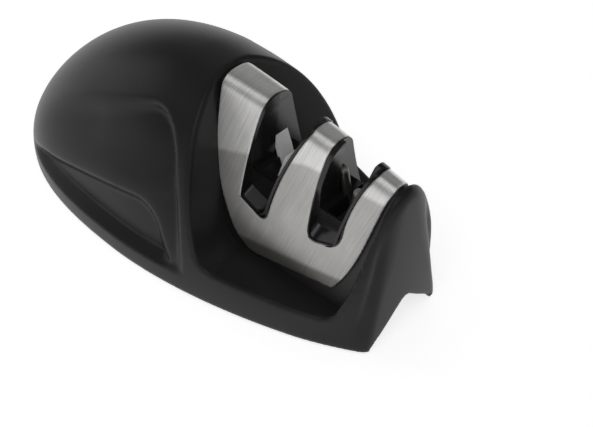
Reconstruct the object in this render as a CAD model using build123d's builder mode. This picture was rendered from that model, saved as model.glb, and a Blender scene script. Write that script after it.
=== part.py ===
from build123d import *
import math
import os

os.makedirs("parts", exist_ok=True)

# Pull through knife sharpener with a coarse and a fine slot, shaped to sit
# under the palm. X runs from the rounded heel (rear) to the nose (front), Y is
# the way the knife is pulled, Z is up. The origin is on the table, under the
# middle of the length. Near is the -Y side and far is the +Y side.

# Body outline: plan and side curves of the palm rest
body_length = 145.0
body_half_width = 36.0
body_height = 56.5
widest_x = -7.0
highest_x = 0.0
nose_half_width = 15.7
crest_check_x = 50.0
crest_check_height = 52.0
plan_rear_power = 2.47
plan_front_power = 1.81
side_rear_power = 1.79
side_front_power = 1.78
skirt_height = 3.0
table_gap = 0.8
heel_flat = 0.5
nose_lean = 2.5
nose_edge_radius = 1.2
wall = 2.2
seat_gap = 0.15
screw_gap = 0.05
overrun = 12.0
rear_x = -body_length / 2
front_x = body_length / 2

# Where the cross sections stand, as shares of the rear or front length
rear_station_shares = (0.0, 0.014, 0.042, 0.096, 0.18, 0.32, 0.54, 0.8)
front_station_shares = (0.0, 0.25, 0.5, 0.78, 1.0)

# Cheeks of the nose: half width of the front face at its foot and top, and how
# steeply the cheeks run back from it there
nose_foot_half = 15.2
nose_top_half = 3.0
nose_top_height = 48.0
nose_bell_power = 0.8
cheek_foot_slope = 0.66
cheek_top_slope = 1.6
nose_level_shares = (-0.1, 0.0, 0.15, 0.38, 0.66, 1.0, 1.2)

# Arched opening under the nose
arch_half_width = 12.5
arch_leg_height = 2.5
arch_height = 13.5
arch_apex_radius = 3.5
arch_depth = 5.0

# Pockets beside the steel: their outline on the plane pocket_plane, and how
# much their rear wall and floor lean
pocket_plane = 32.0
pocket_rear_low = 25.6
pocket_rear_mid = 20.8
pocket_rear_top = 18.3
pocket_floor = 13.4
pocket_mid_height = 34.0
pocket_top_height = 55.0
pocket_front_low = 62.5
pocket_front_mid = 67.6
pocket_front_top = 68.4
pocket_front_mid_height = 30.0
pocket_front_top_height = 46.0
pocket_corner = 3.0
pocket_inner_plane = 5.5
pocket_rear_draft = 18.0
pocket_floor_draft = 10.0

# Finger dents in the two flanks of the palm rest. A ridge runs from the heel
# towards the pillar and bends down beside it. Above it is a dish, and below
# it a panel that is set further in.
dent_rear_x = -58.0
dent_front_x = 24.0
dent_low = 7.4
dent_sill = 2.4
dent_fade = 0.6
dish_depth = 2.7
dish_rise = 9.0
dish_run = 36.0
dish_ridge_share = 0.65
panel_depth = 2.6
panel_rise = 4.6
panel_run = 18.0
ridge_band = 6.0
ridge_rear_height = 13.0
ridge_front_height = 26.5
ridge_turn_x = 4.0
ridge_foot_x = 17.6
ridge_foot_height = 4.0
ridge_bend = 10.0
ridge_bend_height = 24.0
ridge_bend_power = 1.4
pillar_foot_x = 21.2
pillar_sweep = 18.2
pillar_height = 53.0
pillar_power = 2.85
pillar_draft = 40.0
dent_top_front = 51.5
dent_top_drop = 31.5
dent_top_power = 2.03
dent_station_shares = (0.0, 0.15, 0.3, 0.45, 0.6, 0.7, 0.77, 0.81, 0.84, 0.87, 0.9, 0.94, 1.0)
ridge_least_share = 0.3
panel_level_shares = (0.0, 0.45, 0.8, 1.0)
dish_level_shares = (0.12, 0.4, 0.7, 0.88, 1.0)
pillar_level_shares = (-0.1, 0.15, 0.4, 0.6, 0.75, 0.88, 1.0)

# Spine that the steel wraps: half widths at its top and foot, rear and front
spine_rear_x = 4.0
spine_front_x = 76.0
spine_foot = 8.0
spine_rear_half_top = 5.7
spine_front_half_top = 3.1
spine_rear_half_foot = 17.9
spine_front_half_foot = 14.2
spine_bulge = 0.5
spine_shoulder = 1.2
spine_bend_radius = 1.8
spine_station_shares = (0.0, 0.5, 1.0)

# Steel cover, seen from the side
steel_thickness = 0.8
cover_rear_top_x = 10.2
cover_front_top_x = 67.2
cover_low = 11.3
cover_low_x = 28.3
cover_tip_x = 57.2
cover_tip_height = 15.3
cover_height = 44.7
cover_corner_radius = 6.0
cover_rear_shares = ((0.0, 1.0), (0.048, 0.66), (0.098, 0.414), (0.17, 0.217), (0.262, 0.036))
cover_front_shares = ((0.903, 0.273), (0.935, 0.463), (0.953, 0.673), (0.99, 0.82), (1.0, 1.0))

# Slots: the openings in the steel. A rear and a front value each for the floor
# height, and for x at the floor, at mid height and at the top
slot_top_height = 52.0
coarse_floor = (26.3, 23.2)
coarse_low = (23.4, 33.2)
coarse_mid = (24.0, 35.9)
coarse_top = (25.8, 41.3)
coarse_mid_height = 39.0
coarse_corners = (0.8, 3.2)
fine_floor = (25.9, 25.6)
fine_low = (46.4, 55.9)
fine_mid = (46.6, 58.2)
fine_top = (48.0, 61.8)
fine_mid_height = 41.0
fine_corners = (3.0, 2.6)

# Slot liners, made in two halves that meet on the middle plane. Their rear walls
# and floors lap under the steel, and their front walls stand out through it.
liner_wall = 1.8
liner_rim = 0.8
liner_standout = 0.8
liner_gap = 0.1
liner_foot = 22.0
half_gap = 0.05
coarse_block_depth = 8.4
coarse_block_top = 33.5
coarse_block_step = 0.8
fine_block_depth = 7.5
fine_block_top = 34.0
fine_block_step = 1.4
notch_low = 27.8
notch_relief = 0.35

# Carbide plates of the coarse slot
coarse_centre = 28.6
coarse_angle = 19.5
plate_width = 5.0
plate_thickness = 1.2
plate_top = 41.5
plate_bottom = 26.6
plate_gap = 0.15

# Ceramic rods of the fine slot
fine_centre = 51.4
fine_angle = 13.0
rod_diameter = 2.6
rod_offset = 2.1
rod_top = 41.4
rod_bottom = 26.6
rod_tip_radius = 0.7

# Clamp plates and screws under the slots
tunnel_wall = 1.6
clamp_thickness = 1.2
clamp_length = 8.0
clamp_half_depth = 8.5
clamp_screw_y = 5.7
clamp_screw_length = 5.3
screw_diameter = 2.2
screw_head_diameter = 4.2
screw_head_height = 1.5
driver_width = 2.2
driver_slot = 0.6
driver_depth = 0.7

# Screws that hold the spine down in the housing
core_screw_rear_x = 23.5
core_screw_front_x = 60.5
core_screw_rear_y = 12.2
core_screw_front_y = 6.0
core_screw_length = 9.0
core_wall = 1.6
core_boss_diameter = 6.0
core_boss_height = 18.0
floor_opening_rear = 25.5
floor_opening_front = 56.0
floor_opening_half = 9.5
floor_opening_corner = 2.0

# Base plate, its screws and its rubber feet
base_thickness = 2.6
base_lift = 1.6
base_gap = 0.3
base_front_x = 55.0
base_screw_rear_x = -44.0
base_screw_front_x = 46.0
base_screw_rear_y = 13.0
base_screw_front_y = 20.0
base_screw_length = 6.0
base_boss_diameter = 7.0
foot_diameter = 12.0
foot_recess = 1.0
foot_rear_x = -44.0
foot_front_x = 32.0
foot_rear_y = 23.0
foot_front_y = 19.0
foot_edge = 0.5


def half_width(x):
    """Half width of the palm rest at the table, seen from above."""
    if x < widest_x:
        t = (widest_x - x) / (widest_x - rear_x)
        return body_half_width * (1 - t**plan_rear_power) ** (1 / plan_rear_power)
    s = (x - widest_x) / (front_x - widest_x)
    return body_half_width - (body_half_width - nose_half_width) * s**plan_front_power


def crest_height(x):
    """Height of the crest, seen from the side."""
    if x < highest_x:
        t = (highest_x - x) / (highest_x - rear_x)
        return body_height * (1 - t**side_rear_power) ** (1 / side_rear_power)
    s = (x - highest_x) / (crest_check_x - highest_x)
    return body_height - (body_height - crest_check_height) * s**side_front_power


def flank_y(x, z):
    """Half width of the palm rest at the height z."""
    rise = (z - skirt_height) / (crest_height(x) - skirt_height)
    return half_width(x) * math.sqrt(max(0.0, 1 - max(0.0, rise) ** 2))


def smooth(t):
    """Eases from 0 to 1 as t goes from 0 to 1."""
    t = min(1.0, max(0.0, t))
    return t * t * (3 - 2 * t)


def body_sections(inset, low):
    """Arched cross sections from heel to nose, drawn in by inset."""
    first_x = rear_x + inset
    rear_span = highest_x - first_x
    front_span = front_x + overrun / 2 - highest_x
    places = [first_x + rear_span * share for share in rear_station_shares]
    places += [highest_x + front_span * share for share in front_station_shares]
    sections = []
    for x in places:
        outer_x = x - inset * (highest_x - x) / rear_span if x < highest_x else x
        outer_x = max(outer_x, rear_x + heel_flat)
        w = half_width(outer_x) - inset
        h = crest_height(outer_x) - inset
        skirt = min(skirt_height, h / 2)
        with BuildSketch(Plane.YZ.offset(x)) as section:
            with BuildLine():
                Line((w, skirt), (w, low))
                Line((w, low), (-w, low))
                Line((-w, low), (-w, skirt))
                EllipticalCenterArc((0, skirt), w, h - skirt, 0, arc_size=180)
            make_face()
        sections.append(section.sketch)
    return sections


def nose_form(inset):
    """The space behind the leaning front face and its two cheeks, drawn in by inset."""
    sections = []
    for share in nose_level_shares:
        z = nose_top_height * share
        rise = min(1.0, max(0.0, share))
        face_x = front_x - nose_lean * z / crest_check_height - inset
        slope = cheek_foot_slope + (cheek_top_slope - cheek_foot_slope) * smooth(rise)
        half = nose_foot_half - (nose_foot_half - nose_top_half) * rise**nose_bell_power
        half -= inset * (math.sqrt(1 + slope**2) - slope)
        wide = body_half_width + overrun
        back_x = face_x - (wide - half) / slope
        with BuildSketch(Plane.XY.offset(z)) as section:
            with BuildLine():
                Polyline(
                    (rear_x - overrun, -wide),
                    (back_x, -wide),
                    (face_x, -half),
                    (face_x, half),
                    (back_x, wide),
                    (rear_x - overrun, wide),
                    close=True,
                )
            make_face()
        sections.append(section.sketch)
    with BuildPart() as form:
        loft(sections)
    return form.part


def pocket_outline(plane_y, grow):
    """Side view of the pocket at the distance plane_y from the middle plane."""
    inward = pocket_plane - plane_y
    back = inward * math.tan(math.radians(pocket_rear_draft)) + grow
    floor = pocket_floor - inward * math.tan(math.radians(pocket_floor_draft)) - grow
    top = body_height + overrun
    with BuildSketch(Plane.XZ.offset(plane_y)) as outline:
        with BuildLine():
            rear_low = (pocket_rear_low - back, floor)
            rear_top = (pocket_rear_top - back, pocket_top_height)
            front_low = (pocket_front_low + grow, floor)
            front_top = (pocket_front_top + grow, pocket_front_top_height)
            ThreePointArc(rear_low, (pocket_rear_mid - back, pocket_mid_height), rear_top)
            Line(rear_top, (rear_top[0], top))
            Line((rear_top[0], top), (front_top[0], top))
            Line((front_top[0], top), front_top)
            ThreePointArc(
                front_top, (pocket_front_mid + grow, pocket_front_mid_height), front_low
            )
            Line(front_low, rear_low)
        make_face()
        fillet(outline.vertices().group_by(Axis.Y)[0], pocket_corner + grow)
    return outline.sketch


def pockets(grow):
    """Both pockets in one, from flank to flank, with their floors lowest in the middle."""
    with BuildPart() as cut:
        inner = pocket_outline(pocket_inner_plane, grow)
        loft([inner, pocket_outline(pocket_plane + overrun, grow)], ruled=True)
        extrude(inner, amount=-pocket_inner_plane)
        mirror(about=Plane.XZ)
    return cut.part


def soft_lesser(a, b, radius):
    """The lesser of a and b, eased where they are within radius of each other."""
    share = min(1.0, max(0.0, (1 + (b - a) / radius) / 2))
    return b + (a - b) * share - radius * share * (1 - share)


def pillar_edge(z):
    """Where the pillar begins, at the height z."""
    return pillar_foot_x - pillar_sweep * max(0.0, z / pillar_height) ** pillar_power


def dent_top(x):
    """Height of the upper edge of the dent."""
    share = (dent_front_x - x) / (dent_front_x - dent_rear_x)
    return dent_top_front - dent_top_drop * share**dent_top_power


def ridge_height(x):
    """Height of the ridge before it bends down."""
    share = (x - dent_rear_x) / (ridge_turn_x - dent_rear_x)
    return ridge_rear_height + (ridge_front_height - ridge_rear_height) * share


def ridge_end(z):
    """Where the bent part of the ridge is, at the height z."""
    share = max(0.0, z - ridge_foot_height) / ridge_bend_height
    return ridge_foot_x - ridge_bend * share**ridge_bend_power


def ridge_crest(x):
    """Height of the whole ridge."""
    share = max(0.0, ridge_foot_x - x) / ridge_bend
    bent = ridge_foot_height + ridge_bend_height * share ** (1 / ridge_bend_power)
    return soft_lesser(ridge_height(x), bent, ridge_band / 2)


def dent_depth(x, z):
    """Depth of the finger dent below the flank."""
    below = soft_lesser(ridge_height(x) - z, ridge_end(z) - x, ridge_band)
    near_ridge = math.exp(-((min(0.0, below) / ridge_band) ** 2))
    dish = dish_depth * smooth((dent_top(x) - z) / dish_rise)
    dish *= smooth((x - dent_rear_x) / dish_run) * (1 - dish_ridge_share * near_ridge)
    panel = panel_depth * smooth(below / panel_rise) * smooth((x - dent_rear_x) / panel_run)
    return (dish + panel) * smooth((z - dent_low) / dent_sill)


def dent_sections(grow):
    """Cross sections of the dent from heel to pillar, open to the near side."""
    sections = []
    for share in dent_station_shares:
        x = dent_rear_x + (dent_front_x - dent_rear_x) * share
        high = dent_top(x)
        foot = dent_low + dent_sill
        ridge = max(ridge_crest(x), foot + (high - foot) * ridge_least_share)
        levels = [dent_low, dent_low + dent_sill / 2]
        levels += [foot + (ridge - foot) * place for place in panel_level_shares]
        levels += [ridge + (high - ridge) * place for place in dish_level_shares]
        points = []
        for z in levels:
            depth = dent_depth(x, z)
            outside = dent_fade * (1 - smooth(depth / dent_fade))
            points.append((-(flank_y(x, z) - depth + outside - grow), z))
        points[0] = (points[0][0], points[0][1] - grow)
        points[-1] = (points[-1][0], points[-1][1] + grow)
        far_y = -(body_half_width + overrun)
        with BuildSketch(Plane.YZ.offset(x)) as section:
            with BuildLine():
                Spline(*points)
                Line(points[-1], (far_y, points[-1][1]))
                Line((far_y, points[-1][1]), (far_y, points[0][1]))
                Line((far_y, points[0][1]), points[0])
            make_face()
        sections.append(section.sketch)
    return sections


def pillar_outline(plane_y, grow):
    """Side view of the space behind the pillar, at the distance plane_y from the middle."""
    slope = math.tan(math.radians(pillar_draft))
    points = []
    for share in pillar_level_shares:
        z = pillar_height * share
        edge = pillar_edge(z)
        points.append((edge - (flank_y(edge, z) - plane_y) * slope + grow, z))
    low, high = points[0], points[-1]
    rear = rear_x - overrun
    with BuildSketch(Plane.XZ.offset(plane_y)) as outline:
        with BuildLine():
            Spline(*points)
            Line(high, (rear, high[1]))
            Line((rear, high[1]), (rear, low[1]))
            Line((rear, low[1]), low)
        make_face()
    return outline.sketch


def dents(grow):
    """Cutter for the finger dents in both flanks."""
    outer = body_half_width + overrun
    with BuildPart() as limit:
        loft([pillar_outline(outer, grow), pillar_outline(dish_depth, grow)], ruled=True)
    with BuildPart() as cut:
        loft(dent_sections(grow))
        add(limit.part, mode=Mode.INTERSECT)
        mirror(about=Plane.XZ)
    return cut.part


def spine(grow):
    """The tapered spine that the steel wraps, grown or shrunk all round."""
    sections = []
    for share in spine_station_shares:
        x = spine_rear_x + (spine_front_x - spine_rear_x) * share
        top = spine_rear_half_top + (spine_front_half_top - spine_rear_half_top) * share + grow
        foot = spine_rear_half_foot + (spine_front_half_foot - spine_rear_half_foot) * share + grow
        crest = crest_height(x) + grow
        shoulder = crest - spine_shoulder
        bend = max(spine_bend_radius + grow, top / 4)
        middle = ((top + foot) / 2 + spine_bulge, (shoulder + spine_foot) / 2)
        with BuildSketch(Plane.YZ.offset(x)) as section:
            with BuildLine():
                ThreePointArc((foot, spine_foot), middle, (top, shoulder))
                ThreePointArc((top, shoulder), (0, crest), (-top, shoulder))
                ThreePointArc((-top, shoulder), (-middle[0], middle[1]), (-foot, spine_foot))
                Line((-foot, spine_foot), (-foot, 0))
                Line((-foot, 0), (foot, 0))
                Line((foot, 0), (foot, spine_foot))
            make_face()
            fillet(section.vertices().group_by(Axis.Y)[-1], bend)
        sections.append(section.sketch)
    with BuildPart() as form:
        loft(sections)
    return form.part


def cover_place(share):
    """A point of the cover's side view, from its shares of length and height."""
    span = cover_front_top_x - cover_rear_top_x
    return (cover_rear_top_x + span * share[0], cover_low + cover_height * share[1])


def cover_side():
    """Side view of the steel cover, open upwards."""
    rear = [cover_place(share) for share in cover_rear_shares]
    front = [cover_place(share) for share in cover_front_shares]
    low = (cover_low_x, cover_low)
    tip = (cover_tip_x, cover_tip_height)
    top = body_height + overrun
    with BuildSketch(Plane.XZ) as outline:
        with BuildLine():
            Spline(*rear)
            Line(rear[-1], low)
            Line(low, tip)
            Line(tip, front[0])
            Spline(*front)
            Line(front[-1], (front[-1][0], top))
            Line((front[-1][0], top), (rear[0][0], top))
            Line((rear[0][0], top), rear[0])
        make_face()
        fillet(outline.vertices().sort_by(Axis.Y)[0], cover_corner_radius)
    return outline.sketch


def slot_side(slot, rear_inset, front_inset, floor_inset=None, foot=liner_foot):
    """Side view of one slot, open upwards. With no floor inset it ends in a flat foot."""
    floor, low, mid, mid_height, top, radii = slot
    floor_rear = foot if floor_inset is None else floor[0] + floor_inset
    floor_front = foot if floor_inset is None else floor[1] + floor_inset
    over = body_height + overrun
    rear = [(low[0], floor_rear), (mid[0], mid_height), (top[0], slot_top_height)]
    front = [(low[1], floor_front), (mid[1], mid_height), (top[1], slot_top_height)]
    rear = [(x + rear_inset, z) for x, z in rear]
    front = [(x - front_inset, z) for x, z in front]
    with BuildSketch(Plane.XZ) as outline:
        with BuildLine():
            ThreePointArc(*rear)
            Line(rear[2], (rear[2][0], over))
            Line((rear[2][0], over), (front[2][0], over))
            Line((front[2][0], over), front[2])
            ThreePointArc(front[2], front[1], front[0])
            Line(front[0], rear[0])
        make_face()
        if floor_inset is not None:
            fillet(outline.vertices().sort_by(Axis.Y)[1], radii[0])
            fillet(outline.vertices().sort_by(Axis.Y)[0], radii[1] - floor_inset / 2)
    return outline.sketch


def slot_cut(slot, rear_inset, front_inset, floor_inset=None, foot=liner_foot):
    """One slot as a solid that runs from flank to flank."""
    with BuildPart() as cut:
        with BuildSketch(Plane.XZ):
            add(slot_side(slot, rear_inset, front_inset, floor_inset, foot))
        extrude(amount=pocket_plane, both=True)
    return cut.part


coarse_slot = (
    coarse_floor, coarse_low, coarse_mid, coarse_mid_height, coarse_top, coarse_corners
)
fine_slot = (fine_floor, fine_low, fine_mid, fine_mid_height, fine_top, fine_corners)


def screws(places, head_z, length):
    """Pan head screws that point up, one solid at each place."""
    with BuildPart() as group:
        with BuildSketch(Plane.XY.offset(head_z)):
            with Locations(*places):
                Circle(screw_head_diameter / 2)
        extrude(amount=-screw_head_height)
        fillet(group.edges().group_by(Axis.Z)[0], screw_head_height / 3)
        with BuildSketch(Plane.XY.offset(head_z)):
            with Locations(*places):
                Circle(screw_diameter / 2)
        extrude(amount=length)
        with BuildSketch(Plane.XY.offset(head_z - screw_head_height)):
            with Locations(*places):
                Rectangle(driver_width, driver_slot)
                Rectangle(driver_slot, driver_width)
        extrude(amount=driver_depth, mode=Mode.SUBTRACT)
    return group.part


def corners(rear, rear_y, front, front_y):
    """Four places, a near and a far one at the rear and at the front."""
    return [(rear, -rear_y), (rear, rear_y), (front, -front_y), (front, front_y)]


base_screw_places = corners(
    base_screw_rear_x, base_screw_rear_y, base_screw_front_x, base_screw_front_y
)
core_screw_places = corners(
    core_screw_rear_x, core_screw_rear_y, core_screw_front_x, core_screw_front_y
)
foot_places = corners(foot_rear_x, foot_rear_y, foot_front_x, foot_front_y)
base_top = base_lift + base_thickness
pocket_form = pockets(0)
dent_form = dents(0)

# Outer form of the palm rest and the nose
with BuildPart() as outer_form:
    loft(body_sections(0, table_gap))
    add(nose_form(0), mode=Mode.INTERSECT)
    nose_face = outer_form.faces().sort_by(Axis.X)[-1]
    fillet(nose_face.edges().sort_by(Axis.Z)[1:], nose_edge_radius)
    add(pocket_form, mode=Mode.SUBTRACT)
    add(dent_form, mode=Mode.SUBTRACT)

# Space inside the housing
with BuildPart() as hollow_form:
    loft(body_sections(wall, -overrun))
    add(nose_form(wall), mode=Mode.INTERSECT)
    add(pockets(wall), mode=Mode.SUBTRACT)
    add(dents(wall), mode=Mode.SUBTRACT)

# Screw posts of the housing
with BuildPart() as posts:
    with BuildSketch(Plane.XY.offset(base_top)):
        with Locations(*base_screw_places):
            Circle(base_boss_diameter / 2)
    extrude(amount=body_height)
    add(outer_form.part, mode=Mode.INTERSECT)

# Housing
with BuildPart() as housing:
    add(outer_form.part)
    add(hollow_form.part, mode=Mode.SUBTRACT)
    add(posts.part)
    floor_length = floor_opening_front - floor_opening_rear
    with BuildSketch(Plane.XY):
        with Locations((floor_opening_rear + floor_length / 2, 0)):
            RectangleRounded(floor_length, 2 * floor_opening_half, floor_opening_corner)
    extrude(amount=pocket_floor, mode=Mode.SUBTRACT)
    with BuildSketch(Plane.XY):
        with Locations(*core_screw_places):
            Circle(screw_diameter / 2 + seat_gap)
    extrude(amount=pocket_floor, mode=Mode.SUBTRACT)
    with BuildSketch(Plane.XY.offset(base_top)):
        with Locations(*base_screw_places):
            Circle(screw_diameter / 2 + screw_gap)
    extrude(amount=base_screw_length, mode=Mode.SUBTRACT)
    with BuildSketch(Plane.YZ.offset(front_x + overrun)) as arch:
        with BuildLine():
            Polyline(
                (-arch_half_width, 0),
                (-arch_half_width, arch_leg_height),
                (0, arch_height),
                (arch_half_width, arch_leg_height),
                (arch_half_width, 0),
                close=True,
            )
        make_face()
        fillet(arch.vertices().group_by(Axis.Y)[-1], arch_apex_radius)
    extrude(amount=-(overrun + arch_depth), mode=Mode.SUBTRACT)
housing.part.label = "housing"

# Spine core, which carries the steel and the slot liners
core_inset = steel_thickness + seat_gap
tunnel_foot = liner_foot - liner_gap - tunnel_wall
core_form = spine(-core_inset)
core_pocket = pockets(-seat_gap)
with BuildPart() as core_space:
    add(spine(-core_inset - core_wall))
    add(pockets(-seat_gap - core_wall), mode=Mode.INTERSECT)
    for slot in (coarse_slot, fine_slot):
        tunnel = slot_cut(slot, -liner_wall - tunnel_wall, -tunnel_wall, foot=tunnel_foot)
        add(tunnel, mode=Mode.SUBTRACT)
    with BuildSketch(Plane.XY):
        with Locations(*core_screw_places):
            Circle(core_boss_diameter / 2)
    extrude(amount=core_boss_height, mode=Mode.SUBTRACT)
with BuildPart() as spine_core:
    add(core_form)
    add(core_pocket, mode=Mode.INTERSECT)
    add(core_space.part, mode=Mode.SUBTRACT)
    with BuildSketch(Plane.XY):
        with Locations((floor_opening_rear + floor_length / 2, 0)):
            RectangleRounded(floor_length, 2 * floor_opening_half, floor_opening_corner)
    extrude(amount=tunnel_foot, mode=Mode.SUBTRACT)
    for slot in (coarse_slot, fine_slot):
        seat = slot_cut(slot, -liner_wall - liner_gap, 0, foot=liner_foot - liner_gap)
        add(seat, mode=Mode.SUBTRACT)
    with BuildSketch(Plane.XY):
        with Locations(*core_screw_places):
            Circle(screw_diameter / 2 + screw_gap)
    extrude(amount=core_boss_height, mode=Mode.SUBTRACT)
spine_core.part.label = "spine_core"

# Steel cover
with BuildPart() as steel_cover:
    with BuildSketch(Plane.XZ):
        add(cover_side())
    extrude(amount=pocket_plane, both=True)
    add(spine(0), mode=Mode.INTERSECT)
    add(spine(-steel_thickness), mode=Mode.SUBTRACT)
    for slot in (coarse_slot, fine_slot):
        add(slot_cut(slot, 0, 0, 0), mode=Mode.SUBTRACT)
steel_cover.part.label = "steel_cover"


near = -1
far = 1


def liner_half(slot, block, centre, angle, side):
    """One half of a slot liner: a channel, a step, and a block with a V notch."""
    depth, block_top, step = block
    reach = -side * (pocket_plane - half_gap)
    channel = -side * (pocket_plane - depth)
    inner = -side * (depth - half_gap)
    rim = liner_gap + liner_rim
    steps = (step, rim) if side == near else (0, rim + step)
    lean = math.tan(math.radians(angle))
    relief = notch_relief / math.cos(math.radians(angle))
    low = (centre, notch_low - relief / lean)
    rise = body_height - low[1]
    with BuildPart() as lap:
        with BuildSketch(Plane.XZ.offset(-side * half_gap)):
            add(slot_side(slot, -liner_wall, rim - liner_rim / 2))
        extrude(amount=reach)
        add(spine(-core_inset), mode=Mode.INTERSECT)
    with BuildPart() as half:
        with BuildSketch(Plane.XZ.offset(-side * half_gap)):
            add(slot_side(slot, liner_gap, liner_gap, liner_gap))
        extrude(amount=reach)
        add(spine(liner_standout), mode=Mode.INTERSECT)
        add(lap.part)
        with BuildSketch(Plane.XZ.offset(-side * depth)):
            add(slot_side(slot, 0, rim, 0))
        extrude(amount=channel, mode=Mode.SUBTRACT)
        with BuildSketch(Plane.XZ.offset(-side * half_gap)):
            add(slot_side(slot, *steps, 0))
            split(bisect_by=Plane.XZ.offset(-block_top), keep=Keep.BOTTOM)
        extrude(amount=inner, mode=Mode.SUBTRACT)
        with BuildSketch(Plane.XZ.offset(-side * half_gap)):
            with BuildLine():
                Polyline(
                    low,
                    (low[0] + rise * lean, body_height),
                    (low[0] - rise * lean, body_height),
                    close=True,
                )
            make_face()
            add(slot_side(slot, *steps, 0), mode=Mode.INTERSECT)
        extrude(amount=inner, mode=Mode.SUBTRACT)
    return half.part


def plate(side, grow):
    """A carbide plate: the near one leans forward at its top, the far one rearward."""
    lean = math.radians(coarse_angle)
    along = (side * math.sin(lean), -math.cos(lean))
    back = (-side * math.cos(lean), -math.sin(lean))

    def place(height, depth):
        run = (notch_low - height) / math.cos(lean)
        x = coarse_centre + along[0] * run + back[0] * depth
        z = notch_low + along[1] * run + back[1] * depth
        return (x, z)

    with BuildPart() as piece:
        with BuildSketch(Plane.XZ.offset(-side * (plate_gap - grow))):
            with BuildLine():
                Polyline(
                    place(plate_top + grow, -grow),
                    place(plate_bottom - grow, -grow),
                    place(plate_bottom - grow, plate_thickness + grow),
                    place(plate_top + grow, plate_thickness + grow),
                    close=True,
                )
            make_face()
        extrude(amount=-side * (plate_width + 2 * grow))
    return piece.part


def rod(side, grow):
    """A ceramic rod: the near one leans forward at its top, the far one rearward."""
    lean = math.radians(fine_angle)
    along = (-side * math.sin(lean), 0, math.cos(lean))
    radius = rod_diameter / 2
    foot_x = fine_centre - side * radius / math.cos(lean)
    foot_x += side * (notch_low - rod_bottom) * math.tan(lean)
    foot = (foot_x, side * rod_offset, rod_bottom - grow)
    length = (rod_top - rod_bottom) / math.cos(lean)
    with BuildPart() as piece:
        with BuildSketch(Plane(origin=foot, x_dir=(0, 1, 0), z_dir=along)):
            Circle(radius + grow)
        extrude(amount=length + 2 * grow)
        if grow == 0:
            fillet(piece.edges(), rod_tip_radius)
    return piece.part


def clamp(centre):
    """A steel strap across the underside of one slot."""
    top = tunnel_foot
    with BuildPart() as piece:
        with BuildSketch(Plane.XY.offset(top)):
            with Locations((centre, 0)):
                RectangleRounded(clamp_length, 2 * clamp_half_depth, clamp_thickness)
            with Locations((centre, -clamp_screw_y), (centre, clamp_screw_y)):
                Circle(screw_diameter / 2 + screw_gap, mode=Mode.SUBTRACT)
        extrude(amount=-clamp_thickness)
    return piece.part


def clamp_screws(centre):
    """The two screws that pull the liner halves down onto the core."""
    head_z = tunnel_foot - clamp_thickness
    places = [(centre, -clamp_screw_y), (centre, clamp_screw_y)]
    return screws(places, head_z, clamp_screw_length)


def screw_bores(places, low, high):
    """Bores for screws, from the height low to the height high."""
    with BuildPart() as bores:
        with BuildSketch(Plane.XY.offset(low)):
            with Locations(*places):
                Circle(screw_diameter / 2 + screw_gap)
        extrude(amount=high - low)
    return bores.part


clamp_bore_top = tunnel_foot - clamp_thickness + clamp_screw_length + screw_gap
pieces = {
    "housing": housing.part,
    "steel_cover": steel_cover.part,
    "coarse_plate_near": plate(near, 0),
    "coarse_plate_far": plate(far, 0),
    "fine_rod_near": rod(near, 0),
    "fine_rod_far": rod(far, 0),
}
coarse_block = (coarse_block_depth, coarse_block_top, coarse_block_step)
fine_block = (fine_block_depth, fine_block_top, fine_block_step)
for slot_name, slot, block, centre, angle, insert in (
    ("coarse", coarse_slot, coarse_block, coarse_centre, coarse_angle, plate),
    ("fine", fine_slot, fine_block, fine_centre, fine_angle, rod),
):
    clamp_places = [(centre, -clamp_screw_y), (centre, clamp_screw_y)]
    bores = screw_bores(clamp_places, 0, clamp_bore_top)
    for side_name, side in (("near", near), ("far", far)):
        with BuildPart() as liner:
            add(liner_half(slot, block, centre, angle, side))
            add(insert(side, seat_gap / 2), mode=Mode.SUBTRACT)
            add(bores, mode=Mode.SUBTRACT)
        pieces[f"{slot_name}_liner_{side_name}"] = liner.part
    with BuildPart(mode=Mode.PRIVATE) as bored_core:
        add(spine_core.part)
        add(bores, mode=Mode.SUBTRACT)
    spine_core = bored_core
    pieces[f"{slot_name}_clamp"] = clamp(centre)
    pieces[f"{slot_name}_clamp_screws"] = clamp_screws(centre)
pieces["spine_core"] = spine_core.part

# Base plate, let into the underside of the housing
with BuildPart() as base_plate:
    loft(body_sections(wall + base_gap, -overrun))
    split(bisect_by=Plane.XY.offset(base_lift), keep=Keep.TOP)
    split(bisect_by=Plane.XY.offset(base_top), keep=Keep.BOTTOM)
    split(bisect_by=Plane.YZ.offset(base_front_x), keep=Keep.BOTTOM)
    with BuildSketch(Plane.XY.offset(base_lift)):
        with Locations(*foot_places):
            Circle(foot_diameter / 2 + seat_gap)
    extrude(amount=foot_recess, mode=Mode.SUBTRACT)
    with BuildSketch(Plane.XY.offset(base_lift)):
        with Locations(*base_screw_places):
            Circle(screw_head_diameter / 2 + seat_gap)
    extrude(amount=screw_head_height, mode=Mode.SUBTRACT)
    with BuildSketch(Plane.XY.offset(base_lift)):
        with Locations(*base_screw_places):
            Circle(screw_diameter / 2 + screw_gap)
    extrude(amount=base_thickness, mode=Mode.SUBTRACT)
pieces["base_plate"] = base_plate.part
pieces["base_screws"] = screws(
    base_screw_places, base_lift + screw_head_height, base_screw_length
)

# Screws that hold the core down on the pocket floor
with BuildPart() as core_screws:
    for x, y in core_screw_places:
        inner_y = max(abs(y) - screw_head_diameter / 2, pocket_inner_plane)
        drop = (pocket_plane - inner_y) * math.tan(math.radians(pocket_floor_draft))
        head_z = pocket_floor - drop - wall - screw_gap
        add(screws([(x, y)], head_z, core_screw_length))
pieces["core_screws"] = core_screws.part

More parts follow.
